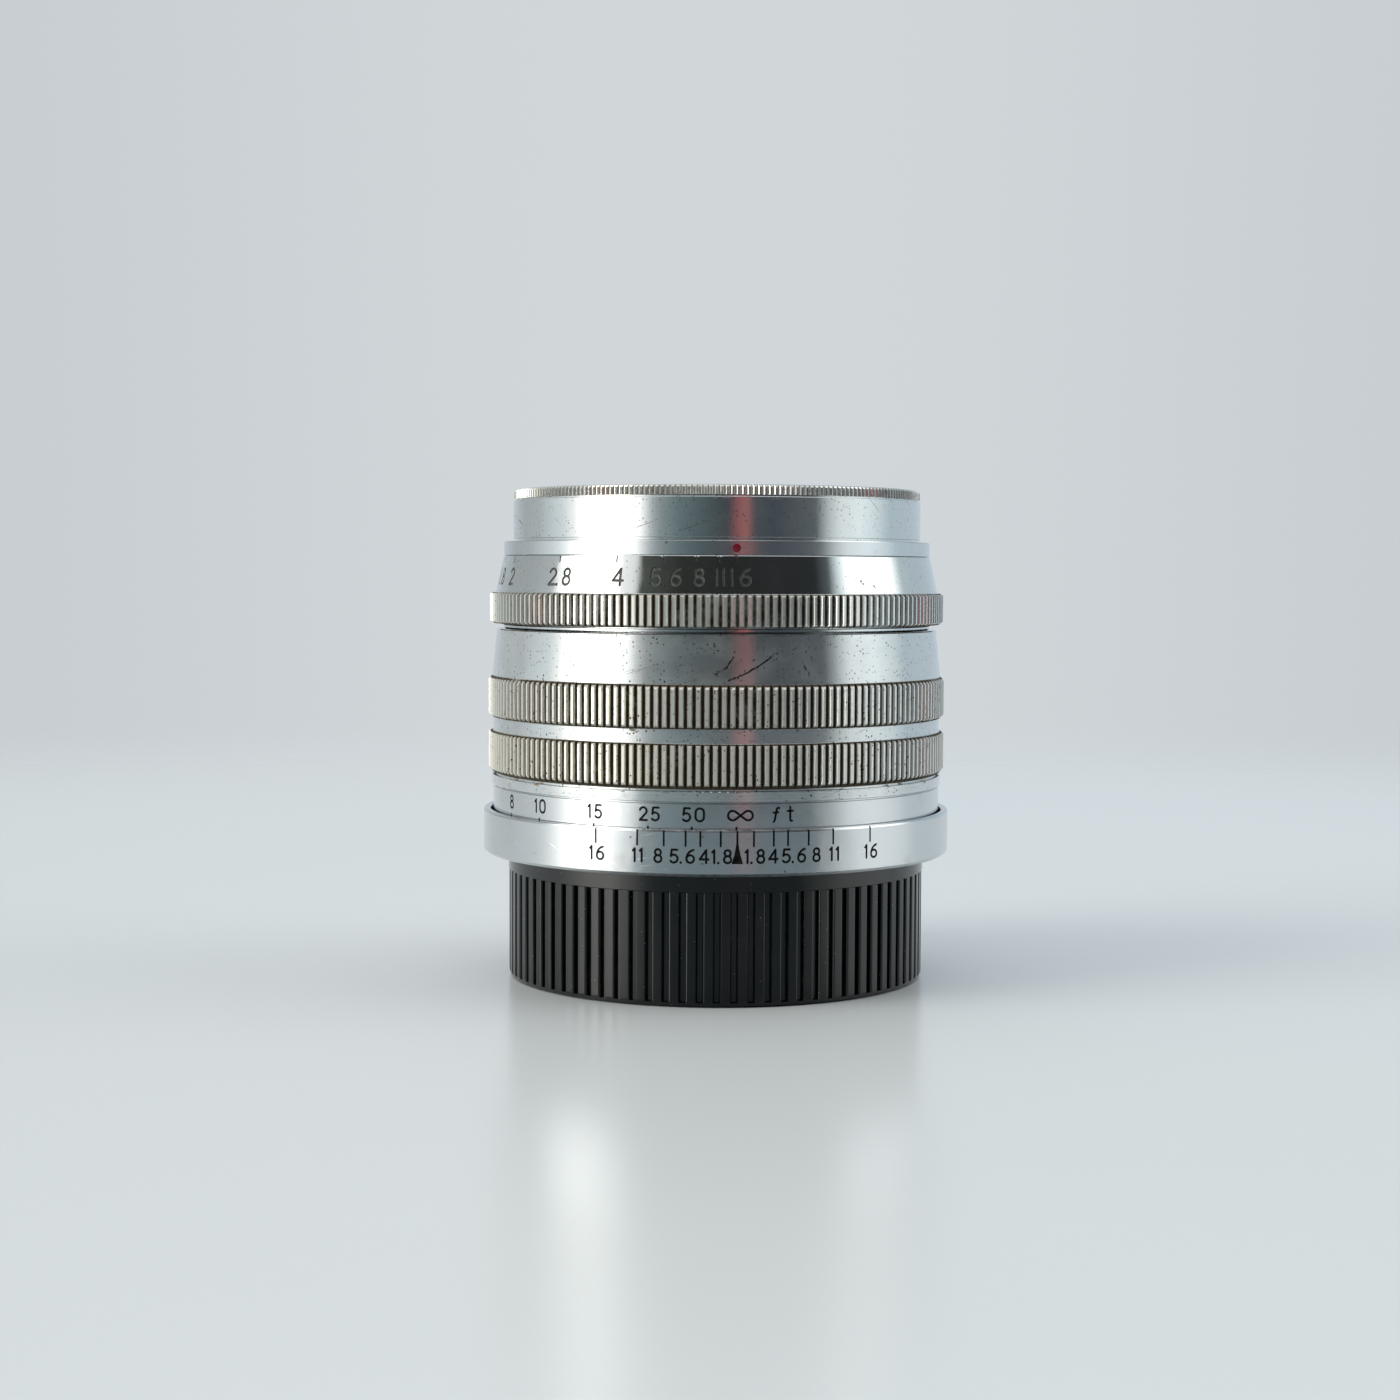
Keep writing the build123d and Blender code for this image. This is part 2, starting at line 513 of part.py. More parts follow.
def index_ring():
    body = turned((BARREL_IN + 0.05, INDEX_BOTTOM), (INDEX_R - 0.04, INDEX_BOTTOM),
                  (INDEX_R, INDEX_BOTTOM + 0.04), (INDEX_R, INDEX_TOP - 0.1),
                  (INDEX_R - 0.03, INDEX_TOP - 0.03), (INDEX_R - 0.1, INDEX_TOP),
                  (BARREL_IN + 0.05, INDEX_TOP))
    return body - radial_pin(0.4, INDEX_R - 0.25, INDEX_R + 1, 43.83)


def index_dot():
    """Round bead of paint in the index ring."""
    bead = radial_pin(0.39, INDEX_R - 0.24, INDEX_R - 0.02, 43.83)
    dome = Pos(0, -(INDEX_R - 0.72), 43.83) * Sphere(0.8)
    return bead + (dome & radial_pin(0.39, INDEX_R - 0.2, INDEX_R + 0.2, 43.83))


def front_barrel():
    """Front barrel with the filter thread inside and the finely ribbed rim."""
    spigot = BARREL_IN - 0.05
    body = turned((16.9, 41.6), (spigot, 41.6), (spigot, FRONT_BOTTOM), (20.7, FRONT_BOTTOM),
                  (20.7, 44.84), (FRONT_R - 0.04, 44.86), (FRONT_R, 44.9), (FRONT_R, 48.7),
                  (FRONT_R - 0.05, 48.75), (20.62, 48.77), (20.62, 48.86), (RIM_KNURL_R, 48.95),
                  (RIM_KNURL_R, 49.62), (RIM_KNURL_R - 0.1, 49.81), (RIM_KNURL_R - 0.3, RIM_TOP),
                  (FILTER_THREAD_R + 0.2, RIM_TOP), (FILTER_THREAD_R, RIM_TOP - 0.2),
                  (FILTER_THREAD_R, FILTER_THREAD_BOTTOM), (FRONT_SEAT_R, FILTER_THREAD_BOTTOM),
                  (FRONT_SEAT_R, 45.4), (16.9, 45.4))
    body -= thread_grooves(FILTER_THREAD_R, FILTER_THREAD_R + 0.14, FILTER_PITCH,
                           FILTER_THREAD_BOTTOM + 0.03, RIM_TOP - 0.22)
    section = v_gap(RIM_KNURL_R, RIM_KNURL_R - 0.14, 0.36)
    return body - rib_gaps(RIM_RIBS, section, 48.87, RIM_TOP + 0.01)


# ---- optics -------------------------------------------------------------------------------
def sag(radius, height):
    """Depth of a spherical surface at a distance from the axis. The sign follows the radius."""
    return radius - math.copysign(math.sqrt(radius ** 2 - height ** 2), radius)


def surface(radius, vertex, height):
    """Half profile of a glass surface. A positive radius falls away towards the rear."""
    if radius == math.inf:
        return Line((0, vertex), (height, vertex))
    middle = height / 2
    return ThreePointArc((0, vertex), (middle, vertex - sag(radius, middle)),
                         (height, vertex - sag(radius, height)))


def element(rim_r, front, rear, front_r=None, rear_r=None):
    """A lens element from (radius of curvature, vertex z) of its two faces.

    front_r and rear_r are the clear radii, where a face is smaller than the rim and ends in a flat.
    """
    front_curve = surface(*front, front_r or rim_r)
    rear_curve = surface(*rear, rear_r or rim_r)
    (fr, fz), (rr, rz) = [tuple(curve @ 1)[:2] for curve in (front_curve, rear_curve)]
    edge = Polyline((fr, fz), *[(rim_r, fz)] * (fr < rim_r), *[(rim_r, rz)] * (rr < rim_r), (rr, rz))
    axis = Line((0, rear[1]), (0, front[1]))
    return revolve(make_face(Plane.XZ * (Curve() + [front_curve, edge, rear_curve, axis])), Axis.Z)


def front_cell():
    """Black tube that holds the three front elements."""
    rim = FRONT_SEAT_R - 0.1
    return turned((10.1, 33.2), (13.5, 33.2), (13.5, 42.3), (16.4, 42.3), (16.4, 45.42), (rim, 45.42),
                  (rim, 46.3), (14.95, 46.3), (14.95, 43.05), (12.46, 43.05), (12.46, 33.44),
                  (10.1, 33.44))


def front_spacer():
    return turned((11.8, 40.34), (12.42, 40.34), (12.42, 43.3), (11.8, 43.3))


def spanner_slots(inner, outer, bottom, top):
    """Cutters for the two slots that a spanner turns a retaining ring by."""
    return ring_of(2, radial_block(1.1, inner - 1, outer + 1, bottom, top), 90)


def front_retainer():
    inner, outer = 17.2, FRONT_SEAT_R - 0.1
    return tube(inner, outer, 46.32, 46.9) - spanner_slots(inner, outer, 46.55, 47)


def name_ring():
    """Black ring behind the filter thread, with fine steps on its face."""
    rim = FRONT_SEAT_R - 0.1
    body = turned((13.95, 45.02), (14.88, 45.02), (14.88, 46.92), (rim, 46.92), (rim, 47.35),
                  (14.9, 47.05), (14.3, 46.6), (13.95, 46.2))
    return body - [tube(r, r + 0.12, 46.98, 47.6) for r in (15.4, 18.9)]


def rear_cell():
    """Black tube that holds the three rear elements."""
    return turned((11.05, 17.6), (12.6, 17.6), (13.4, 19.0), (13.4, 31.0), (17.9, 31.0),
                  (17.9, 31.37), (10.0, 31.37), (10.0, 31.24), (11.05, 31.24))


def rear_spacer():
    return turned((10.3, 20.8), (11.02, 20.8), (11.02, 24.55), (10.3, 24.55))


def rear_retainer():
    inner, outer = 9.6, 11.02
    return tube(inner, outer, 17.75, 19.0) - spanner_slots(inner, outer, 17.7, 18.1)


def rear_baffle():
    """Stepped black light trap between the rear cell and the carriage."""
    return turned((11.6, 14.6), (15.85, 14.0), (15.85, 16.4), (12.0, 17.0), (12.0, 16.2),
                  (11.6, 16.2))


# ---- all pieces ---------------------------------------------------------------------------
def all_parts():
    flat = math.inf
    parts = {
        "rear_cap": rear_cap(),
        "base_ring": base_ring(),
        "mount_flange": mount_flange(),
        "flange_screws": flange_screws(),
        "guide_keys": guide_keys(),
        "guide_key_screws": guide_key_screws(),
        "focus_stop_pins": focus_stop_pins(),
        "distance_scale_ring": distance_scale_ring(),
        "focus_ring": focus_ring(),
        "focus_nut": focus_nut(),
        "focus_lock_ring": focus_lock_ring(),
        "lock_ring_screws": lock_ring_screws(),
        "carriage_tube": carriage_tube(),
        "lens_barrel": lens_barrel(),
        "barrel_screws": barrel_screws(),
        "aperture_ring": aperture_ring(),
        "aperture_drive_screw": aperture_drive_screw(),
        "iris_cam_ring": iris_cam_ring(),
        "iris_housing": iris_housing(),
        "iris_snap_ring": iris_snap_ring(),
        "index_ring": index_ring(),
        "index_dot": index_dot(),
        "front_barrel": front_barrel(),
        "front_cell": front_cell(),
        "front_element": element(14.9, (38.0, 47.3), (110.0, 44.1)),
        "front_doublet_crown": element(12.4, (21.5, 43.8), (flat, 38.8)),
        "front_doublet_flint": element(12.4, (flat, 38.8), (13.6, 37.6), rear_r=9.7),
        "front_spacer": front_spacer(),
        "front_retainer": front_retainer(),
        "name_ring": name_ring(),
        "rear_cell": rear_cell(),
        "rear_doublet_flint": element(11.0, (-13.5, 27.5), (flat, 26.3), front_r=9.3),
        "rear_doublet_crown": element(11.0, (flat, 26.3), (-19.5, 21.7)),
        "rear_spacer": rear_spacer(),
        "rear_element": element(10.9, (80.0, 21.4), (-36.0, 17.8)),
        "rear_retainer": rear_retainer(),
        "rear_baffle": rear_baffle(),
    }
    for number in range(BLADES):
        parts[f"iris_blade_{number + 1}"] = iris_blade(number)
    return parts


def main():
    os.makedirs("parts", exist_ok=True)
    for name, shape in all_parts().items():
        export_step(shape, f"parts/{name}.step")


main()
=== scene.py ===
import math

import bpy
import numpy as np
from mathutils import Matrix, Vector


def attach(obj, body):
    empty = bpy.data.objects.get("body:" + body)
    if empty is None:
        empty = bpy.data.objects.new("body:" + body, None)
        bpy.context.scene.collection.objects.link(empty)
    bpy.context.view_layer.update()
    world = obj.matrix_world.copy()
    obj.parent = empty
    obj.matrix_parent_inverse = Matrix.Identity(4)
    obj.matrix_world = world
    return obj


# The looks of a chrome screw-mount lens that stands on its rear cap.
# Metres. +Z is the optical axis, and an azimuth is counted in degrees from -Y towards +X.

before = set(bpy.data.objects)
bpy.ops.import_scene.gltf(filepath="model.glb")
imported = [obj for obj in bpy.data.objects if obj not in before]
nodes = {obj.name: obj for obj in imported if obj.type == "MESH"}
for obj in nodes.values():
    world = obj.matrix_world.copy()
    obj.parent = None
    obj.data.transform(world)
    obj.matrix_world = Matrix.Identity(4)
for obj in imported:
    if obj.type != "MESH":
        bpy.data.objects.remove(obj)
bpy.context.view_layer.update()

MM = 0.001

# ---- camera and studio --------------------------------------------------------------------
CAMERA_AZIMUTH = -4.87
CAMERA_DISTANCE = 243.66 * MM
CAMERA_HEIGHT = 41.49 * MM
CAMERA_ASIDE = -0.285 * MM  # to the camera's own right
CAMERA_PITCH = 3.10        # degrees down
CAMERA_YAW = -0.326        # degrees, to the right of the axis
CAMERA_ROLL = 0.245
FOCAL_LENGTH = 60.43       # on a 36 mm sensor

BACKDROP = (0.635, 0.670, 0.694)
BACKDROP_EDGE = (0.575, 0.615, 0.640)
FLOOR_COLOUR = (0.775, 0.805, 0.815)
PAINTED_FLOOR_SHADE = (0.30, 0.37, 0.40)  # painted shade: the floor in front of the object takes this darker colour where the object reflects it
FLOOR_FADE = (0.16, 0.42)  # metres from the axis where the floor starts and ends its fade
BRIGHTEST = 5.0            # the studio's ramps are stored as shares of this radiance

# Radiance seen from the object at azimuths from the camera, at the horizon and 20 degrees up.
SIDES_LOW = [
    (-180, (0.60, 0.64, 0.68)), (-155, (0.56, 0.62, 0.66)), (-135, (0.46, 0.50, 0.51)),
    (-118, (0.52, 0.56, 0.58)), (-104, (0.72, 0.80, 0.82)), (-94, (0.90, 0.97, 0.98)),
    (-85, (1.35, 1.38, 1.34)), (-78, (2.4, 2.4, 2.3)), (-70, (4.5, 4.5, 4.2)), (-56, (4.5, 4.5, 4.2)),
    (-49, (2.4, 2.4, 2.3)), (-42, (1.40, 1.42, 1.40)), (-36, (0.52, 0.56, 0.57)),
    (-31, (0.30, 0.36, 0.37)),
    (-21, (0.15, 0.21, 0.225)), (-10, (0.090, 0.130, 0.142)), (6, (0.055, 0.064, 0.074)),
    (11, (0.30, 0.10, 0.105)), (16, (0.40, 0.15, 0.15)), (20.5, (0.075, 0.085, 0.10)),
    (31, (0.056, 0.074, 0.09)), (42, (0.085, 0.10, 0.115)), (56, (0.12, 0.14, 0.15)),
    (64, (0.62, 0.68, 0.68)), (72, (0.98, 1.05, 1.05)), (86, (1.08, 1.18, 1.20)),
    (95, (0.95, 1.06, 1.10)), (112, (0.56, 0.68, 0.74)), (140, (0.58, 0.67, 0.75)),
]
SIDES_HIGH = [
    (-180, (0.55, 0.60, 0.63)), (-136, (0.36, 0.40, 0.41)), (-110, (0.45, 0.48, 0.49)),
    (-96, (0.60, 0.63, 0.64)), (-90, (1.6, 1.6, 1.56)), (-80, (4.5, 4.5, 4.2)),
    (-56, (4.5, 4.5, 4.2)), (-52, (1.30, 1.32, 1.28)), (-44, (1.0, 1.03, 1.02)),
    (-41, (0.09, 0.10, 0.09)), (-20, (0.03, 0.032, 0.03)), (10, (0.022, 0.023, 0.023)),
    (54, (0.025, 0.028, 0.030)), (62, (0.12, 0.14, 0.145)), (67, (0.80, 0.90, 0.92)),
    (75, (1.9, 1.92, 1.92)), (104, (1.9, 1.92, 1.92)), (114, (0.60, 0.71, 0.74)),
    (140, (0.42, 0.50, 0.54)),
]
OVERHEAD = (0.95, 0.97, 0.98)


# ---- the CAD surfaces that carry marks or knurls ------------------------------------------
# A surface is the (radius, height) of its two ends and a knurl its (low, high, dirt), in mm.
BASE_SURFACE = ((24.0, 13.2), (24.0, 17.1))
SCALE_SURFACE = ((23.02, 13.7), (23.02, 19.66))
APERTURE_SURFACE = ((22.76, 39.52), (22.0, 43.07))
BASE_MARKS = (13.6, 17.0)
SCALE_MARKS = (16.0, 19.6)
APERTURE_MARKS = (39.56, 43.06)
SHALLOWEST, DEEPEST = 0.015, 0.2  # how far below its surface a face counts as engraved
APERTURE_WALL = 0.06              # faces that lie less deep are the walls of the numbers

FOCUS_KNURLS = [(21.0, 25.4, 1.0), (26.7, 31.0, 0.8)]
APERTURE_KNURLS = [(36.1, 39.5, 0.6)]
FRONT_KNURLS = [(48.8, 49.9, 0.5)]
FOCUS_ROOT, FOCUS_CREST = 23.1, 23.42
APERTURE_ROOT, APERTURE_CREST = 22.97, 23.27
FRONT_ROOT, FRONT_CREST = 20.74, 20.86

# Scratches as rows of (azimuth, height) in degrees and mm.
FOCUS_GOUGES = [
    [(-1.9, 31.4), (1.7, 32.0), (5.5, 32.8), (8.3, 33.65)],
    [(-5.3, 31.85), (-2.5, 32.6), (-0.9, 33.55)],
    [(16.2, 32.7), (16.9, 32.4)],
]
APERTURE_NICKS = [[(33.3, 40.9), (33.0, 40.6), (33.7, 40.5)], [(37.0, 40.35), (37.6, 40.15)]]
GOUGE_WIDTH = 0.13


# ---- shader building blocks ---------------------------------------------------------------
class Graph:
    """A short way to wire a node tree. Inputs are values or sockets of other nodes."""

    def __init__(self, tree):
        self.tree = tree
        tree.nodes.clear()

    def add(self, kind, inputs=None, **settings):
        made = self.tree.nodes.new(kind)
        for name, value in settings.items():
            setattr(made, name, value)
        for key, value in (inputs or {}).items():
            if isinstance(value, bpy.types.NodeSocket):
                self.tree.links.new(value, made.inputs[key])
            else:
                made.inputs[key].default_value = value
        return made

    def math(self, operation, a, b=0.0):
        return self.add("ShaderNodeMath", {0: a, 1: b}, operation=operation).outputs[0]

    def times(self, a, b):
        return self.math("MULTIPLY", a, b)

    def plus(self, a, b):
        return self.math("ADD", a, b)

    def minus(self, a, b):
        return self.math("SUBTRACT", a, b)

    def most(self, a, b):
        return self.math("MAXIMUM", a, b)

    def least(self, a, b):
        return self.math("MINIMUM", a, b)

    def vector(self, operation, a, b=(0, 0, 0)):
        return self.add("ShaderNodeVectorMath", {0: a, 1: b}, operation=operation).outputs[0]

    def xyz(self, vector):
        return self.add("ShaderNodeSeparateXYZ", {0: vector}).outputs

    def mix(self, factor, a, b):
        sockets = {0: factor, 6: opaque(a), 7: opaque(b)}
        return self.add("ShaderNodeMix", sockets, data_type="RGBA").outputs[2]

    def blend(self, factor, a, b):
        """Mix two numbers."""
        return self.add("ShaderNodeMix", {0: factor, 2: a, 3: b}, data_type="FLOAT").outputs[0]

    def smooth(self, value, low, high):
        """0 at low, 1 at high, with a soft step between them."""
        sockets = {0: value, 1: low, 2: high}
        return self.add("ShaderNodeMapRange", sockets, interpolation_type="SMOOTHSTEP").outputs[0]

    def ramp(self, factor, stops):
        made = self.add("ShaderNodeValToRGB", {0: factor})
        elements = made.color_ramp.elements
        while len(elements) < len(stops):
            elements.new(0.5)
        for element, (position, colour) in zip(elements, stops):
            element.position = position
        for element, (position, colour) in zip(elements, stops):
            element.color = opaque(colour)
        return made.outputs[0]

    def length(self, vector):
        return self.add("ShaderNodeVectorMath", {0: vector}, operation="LENGTH").outputs["Value"]

    def dot(self, a, b):
        return self.add("ShaderNodeVectorMath", {0: a, 1: b}, operation="DOT_PRODUCT").outputs["Value"]

    def distance(self, a, b):
        return self.add("ShaderNodeVectorMath", {0: a, 1: b}, operation="DISTANCE").outputs["Value"]

    def point(self, x=0.0, y=0.0, z=0.0):
        return self.add("ShaderNodeCombineXYZ", {0: x, 1: y, 2: z}).outputs[0]

    def scaled(self, vector, scale):
        return self.vector("MULTIPLY", vector, scale)

    def noise(self, vector, detail=3.0, roughness=0.55):
        """Soft noise with features about one unit wide."""
        sockets = {"Vector": vector, "Scale": 1.0, "Detail": detail, "Roughness": roughness}
        return self.add("ShaderNodeTexNoise", sockets).outputs[0]

    def cells(self, vector):
        """Distance to the nearest of the points that are scattered about one unit apart."""
        made = self.add("ShaderNodeTexVoronoi", {"Vector": vector, "Scale": 1.0})
        return made.outputs["Distance"], made.outputs["Color"]

    def bump(self, height, distance, strength=1.0):
        sockets = {"Height": height, "Distance": distance, "Strength": strength}
        return self.add("ShaderNodeBump", sockets).outputs[0]


def opaque(colour):
    return colour if isinstance(colour, bpy.types.NodeSocket) else (*colour[:3], 1.0)


def per_mm(*counts):
    """Scale that makes noise vary this many times a millimetre along x, y and z."""
    return tuple(count / MM for count in counts)


class Finish(Graph):
    """A material with a Principled shader and the coordinates that its pattern needs."""

    def __init__(self, name):
        self.material = bpy.data.materials.new(name)
        self.material.use_nodes = True
        super().__init__(self.material.node_tree)
        self.place = self.add("ShaderNodeTexCoord").outputs["Object"]
        self.x, self.y, self.z = self.xyz(self.place)
        self.radius = self.length(self.scaled(self.place, (1, 1, 0)))

    def close(self, **sockets):
        """Finish the material. The keywords name the Principled shader's sockets."""
        inputs = {key.replace("_", " "): value for key, value in sockets.items()}
        shader = self.add("ShaderNodeBsdfPrincipled", inputs)
        output = self.add("ShaderNodeOutputMaterial")
        self.tree.links.new(shader.outputs[0], output.inputs[0])
        return self.material

    def pattern(self, counts, detail=3.0, roughness=0.55):
        """Noise that varies counts times a millimetre along x, y and z."""
        return self.noise(self.scaled(self.place, per_mm(*counts)), detail, roughness)

    def band(self, low, high, edge):
        """1 between two heights and 0 outside them, with soft edges, in mm."""
        rising = self.smooth(self.z, low * MM, (low + edge) * MM)
        return self.times(rising, self.smooth(self.z, high * MM, (high - edge) * MM))

    def lathe_lines(self, per_millimetre=9.0):
        """Fine lines round the axis, as a turning tool leaves them."""
        return self.pattern((0.02, 0.02, per_millimetre), 4.0, 0.7)

    def scratches(self, tilt, spread):
        """Sparse fine scratches, 1 on a scratch and 0 elsewhere."""
        turned = self.add("ShaderNodeVectorRotate", {0: self.place, "Angle": tilt},
                          rotation_type="Y_AXIS").outputs[0]
        lines = self.noise(self.scaled(turned, per_mm(0.12, 0.12, 7.0)), 1.0, 0.4)
        patches = self.pattern((spread, spread, spread), 2.0)
        thin = self.smooth(lines, 0.70, 0.74)
        return self.times(thin, self.smooth(patches, 0.5, 0.66))

    def specks(self, per_millimetre, size, share):
        """Small round flecks, 1 on a fleck. share is how many of the cells hold one."""
        distance, colour = self.cells(self.scaled(self.place, per_mm(*[per_millimetre] * 3)))
        pick = self.xyz(colour)[0]
        spot = self.smooth(self.minus(size, distance), 0.0, size * 0.4)
        return self.times(spot, self.math("LESS_THAN", pick, share))

    def gouges(self, strokes, radius, width):
        """Ragged scratches, 1 on a scratch. Their points are (azimuth, height) in degrees and mm."""
        turn = self.math("ARCTAN2", self.x, self.times(self.y, -1.0))
        spot = self.point(self.times(turn, radius), self.math("DIVIDE", self.z, MM))
        nearest = 1.0
        for points in strokes:
            for start, end in zip(points, points[1:]):
                first = Vector((math.radians(start[0]) * radius, start[1], 0))
                along = Vector((math.radians(end[0]) * radius, end[1], 0)) - first
                offset = self.vector("SUBTRACT", spot, first)
                share = self.dot(offset, along / along.length_squared)
                share = self.least(self.most(share, 0.0), 1.0)
                nearest = self.least(self.distance(offset, self.scaled(share, along)), nearest)
        ragged = self.pattern((6.0, 6.0, 6.0), 3.0)
        reach = self.times(self.smooth(ragged, 0.34, 0.60), width)
        return self.smooth(self.minus(reach, nearest), 0.0, width * 0.3)


# ---- materials ----------------------------------------------------------------------------
def polished_chrome(name, root, crest, knurls, haze, veil, pitting, gouges=()):
    """Bright plate with dirt packed into its knurling.

    haze is the roughness of the clean plate, veil the share of light that its fine wear
    scatters, and pitting how dark its pits are.
    """
    g = Finish(name)
    clouds = g.pattern((0.25, 0.25, 0.3), 4.0)
    fine = g.pattern((3.0, 3.0, 3.0), 3.0)
    # 1 on the -X side of the ring and 0 on its +X side.
    minus_x_side = g.smooth(g.x, 14 * MM, -16 * MM)
    depth = g.smooth(g.radius, (crest - 0.02) * MM, (root + 0.13) * MM)
    patchy = g.smooth(g.plus(clouds, g.times(fine, 0.4)), 0.40, 0.80)
    grime = 0.0
    film = 0.0
    crust = 0.0
    for low, high, dirtiness in knurls:
        inside = g.band(low, high, 0.1)
        share = g.times(inside, g.plus(g.times(patchy, dirtiness), dirtiness * 0.7))
        grime = g.most(g.times(share, depth), grime)
        film = g.most(g.times(inside, dirtiness), film)
        below = g.band(low - 0.45, low + 0.2, 0.2)
        crust = g.most(g.times(below, dirtiness), crust)
    lumps = g.pattern((0.7, 0.7, 1.6), 4.0, 0.7)
    crust = g.times(crust, g.smooth(lumps, 0.60, 0.66))
    worn = g.smooth(g.pattern((0.35, 0.35, 0.5), 4.0), 0.36, 0.70)
    pits = g.most(g.specks(1.4, 0.18, 0.22), g.specks(3.2, 0.36, 0.28))
    pits = g.times(pits, g.plus(0.3, g.times(worn, 0.7)))
    pits = g.times(pits, pitting)
    if gouges:
        pits = g.most(pits, g.gouges(gouges, crest, GOUGE_WIDTH))
    dirt = g.least(g.most(grime, crust), 1.0)
    scratch = g.most(g.scratches(0.35, 0.3), g.scratches(-0.9, 0.22))
    plate = g.mix(clouds, (0.63, 0.67, 0.685), (0.70, 0.70, 0.69))
    plate = g.mix(g.times(film, 0.7), plate, (0.90, 0.88, 0.84))
    # The knurls' film is tinted warmer towards the -X side.
    warm = g.times(film, g.plus(0.10, g.times(minus_x_side, 0.28)))
    plate = g.mix(warm, plate, (0.82, 0.72, 0.52))
    plate = g.mix(g.times(scratch, 0.7), plate, (0.10, 0.10, 0.10))
    olive = g.mix(fine, (0.012, 0.008, 0.004), (0.095, 0.066, 0.030))
    ochre = g.mix(fine, (0.07, 0.05, 0.015), (0.36, 0.27, 0.11))
    soiled = g.mix(dirt, plate, g.mix(crust, olive, ochre))
    colour = g.mix(pits, soiled, (0.010, 0.009, 0.008))
    shine = g.plus(haze, g.times(clouds, 0.05))
    shine = g.plus(shine, g.times(film, 0.18))
    rough = g.blend(g.times(scratch, 0.6), g.blend(dirt, shine, 0.65), 0.4)
    lines = g.plus(g.lathe_lines(), g.times(scratch, -0.8))
    lines = g.plus(lines, g.times(fine, 0.3))
    normal = g.bump(g.minus(lines, g.times(pits, 1.5)), 0.0018 * MM)
    scatter = g.times(g.plus(0.55, g.times(worn, 0.45)), veil)
    scatter = g.most(scatter, g.times(film, 0.55))
    metal = g.times(g.minus(1.0, dirt), g.minus(1.0, scatter))
    return g.close(Base_Color=colour, Metallic=metal, Roughness=rough, Normal=normal)


def satin_chrome(name):
    """Fine-grained plate with faint wear and a little grime."""
    g = Finish(name)
    clouds = g.pattern((0.22, 0.22, 0.3), 4.0)
    grain = g.pattern((14.0, 14.0, 14.0), 2.0)
    specks = g.most(g.specks(0.9, 0.12, 0.10), g.specks(4.0, 0.2, 0.05))
    scratch = g.most(g.scratches(0.2, 0.25), g.scratches(-0.6, 0.3))
    stain = g.times(g.smooth(clouds, 0.60, 0.78), 0.4)
    plate = g.mix(stain, (0.655, 0.675, 0.69), (0.40, 0.39, 0.34))
    plate = g.mix(g.times(scratch, 0.5), plate, (0.85, 0.86, 0.87))
    colour = g.mix(g.times(specks, 0.7), plate, (0.06, 0.05, 0.035))
    haze = g.plus(0.10, g.times(clouds, 0.12))
    rough = g.blend(scratch, haze, 0.35)
    lines = g.times(g.lathe_lines(6.0), 0.6)
    height = g.plus(g.plus(grain, lines), g.times(scratch, -1.2))
    normal = g.bump(height, 0.0022 * MM)
    return g.close(Base_Color=colour, Metallic=0.97, Roughness=rough, Normal=normal)


def engraving_paint(name, full, thin):
    """Enamel in the engraved marks, in its full colour and where it is worn thin."""
    g = Finish(name)
    worn = g.pattern((5.0, 5.0, 5.0), 3.0)
    colour = g.mix(g.smooth(worn, 0.50, 0.66), full, thin)
    rough = g.plus(0.35, g.times(worn, 0.3))
    normal = g.bump(worn, 0.02 * MM)
    return g.close(Base_Color=colour, Roughness=rough, Specular_IOR_Level=0.15, Normal=normal)


def cut_edges(name):
    """Bare bright walls of the engraved marks, with crumbs of enamel left on them."""
    g = Finish(name)
    crumbs = g.smooth(g.pattern((9.0, 9.0, 9.0), 3.0), 0.50, 0.62)
    colour = g.mix(g.times(crumbs, 0.8), (0.78, 0.78, 0.76), (0.03, 0.03, 0.03))
    rough = g.plus(0.40, g.times(crumbs, 0.2))
    return g.close(Base_Color=colour, Metallic=0.8, Roughness=rough, Normal=g.bump(crumbs, 0.004 * MM))


def cap_plastic(name):
    """Black moulded plastic with a dusty, slightly greasy film."""
    g = Finish(name)
    film = g.pattern((0.35, 0.35, 0.5), 5.0, 0.65)
    grain = g.pattern((9.0, 9.0, 9.0), 3.0)
    dust = g.most(g.specks(3.2, 0.13, 0.05), g.specks(1.1, 0.07, 0.08))
    smear = g.times(g.smooth(film, 0.40, 0.80), 0.14)
    body = g.mix(smear, (0.0022, 0.0026, 0.0030), (0.060, 0.060, 0.036))
    colour = g.mix(dust, body, (0.30, 0.30, 0.27))
    rough = g.blend(dust, g.plus(0.06, g.times(film, 0.16)), 0.9)
    height = g.plus(g.times(grain, 0.5), dust)
    normal = g.bump(height, 0.004 * MM)
    return g.close(Base_Color=colour, Roughness=rough, Specular_IOR_Level=0.62, Normal=normal)


def black_metal(name):
    """Matt black paint on turned metal, with brighter rubbed spots."""
    g = Finish(name)
    rings = g.noise(g.scaled(g.point(g.radius, 0.0, g.z), per_mm(7.0, 0.0, 7.0)), 3.0)
    wear = g.smooth(g.pattern((0.9, 0.9, 0.9), 5.0), 0.62, 0.74)
    dust = g.specks(1.8, 0.14, 0.10)
    painted = g.mix(g.times(wear, 0.3), (0.010, 0.010, 0.011), (0.06, 0.058, 0.055))
    colour = g.mix(dust, painted, (0.30, 0.30, 0.28))
    rough = g.plus(0.38, g.times(rings, 0.25))
    return g.close(Base_Color=colour, Roughness=rough, Normal=g.bump(rings, 0.006 * MM))


